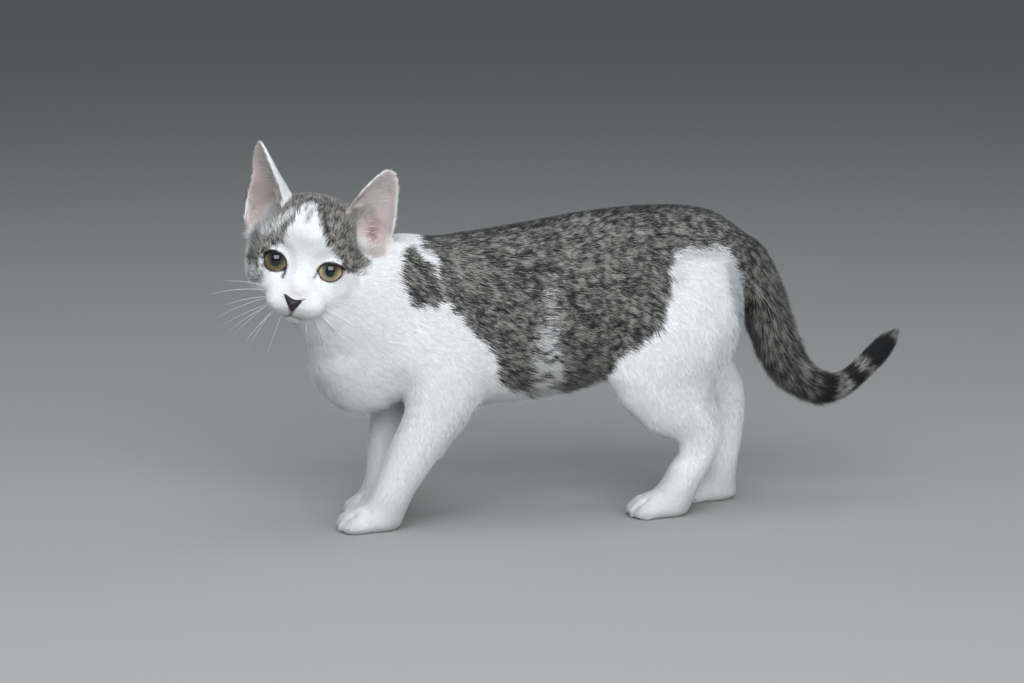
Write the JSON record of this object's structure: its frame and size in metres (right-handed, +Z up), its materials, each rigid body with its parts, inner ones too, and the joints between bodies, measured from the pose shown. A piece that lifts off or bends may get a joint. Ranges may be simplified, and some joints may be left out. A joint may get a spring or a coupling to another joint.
{
  "type": "kitten",
  "caption": "Young grey tabby-and-white domestic cat in a slow walking stance, its head turned to its left, as a still life-size museum model.",
  "frame": {"origin": "on the ground, under the middle of the model's bounding box", "axes": "the cat walks towards -Y with its tail towards +Y, its own left side is +X, +Z is up; the ground is z = 0"},
  "size_m": [0.0926, 0.421, 0.2382],
  "materials": {
    "coat_tabby": "short grey-brown fur mottled and barred with black",
    "coat_white": "short dense white fur",
    "ear_skin": "thin pink skin under sparse pale hair, matt",
    "nose_leather": "dark brown-black bare skin, slightly moist",
    "eye": "wet, clear over an olive-amber iris and a dark oval pupil"
  },
  "bodies": {
    "root": {"belly": "coat_tabby", "chest": "coat_tabby", "rump": "coat_tabby", "neck": "coat_white", "head": "coat_white", "muzzle": "coat_white", "nose": "nose_leather", "ear_left": "ear_skin", "ear_right": "ear_skin", "eye_left": "eye", "eye_right": "eye", "foreleg_left_upper": "coat_white", "foreleg_left_lower": "coat_white", "forepaw_left": "coat_white", "foreleg_right_upper": "coat_white", "foreleg_right_lower": "coat_white", "forepaw_right": "coat_white", "hindleg_left_thigh": "coat_white", "hindleg_left_shank": "coat_white", "hindpaw_left": "coat_white", "hindleg_right_thigh": "coat_white", "hindleg_right_shank": "coat_white", "hindpaw_right": "coat_white", "tail_1": "coat_tabby", "tail_2": "coat_tabby", "tail_3": "coat_tabby", "tail_4": "coat_tabby"}
  },
  "joints": []
}
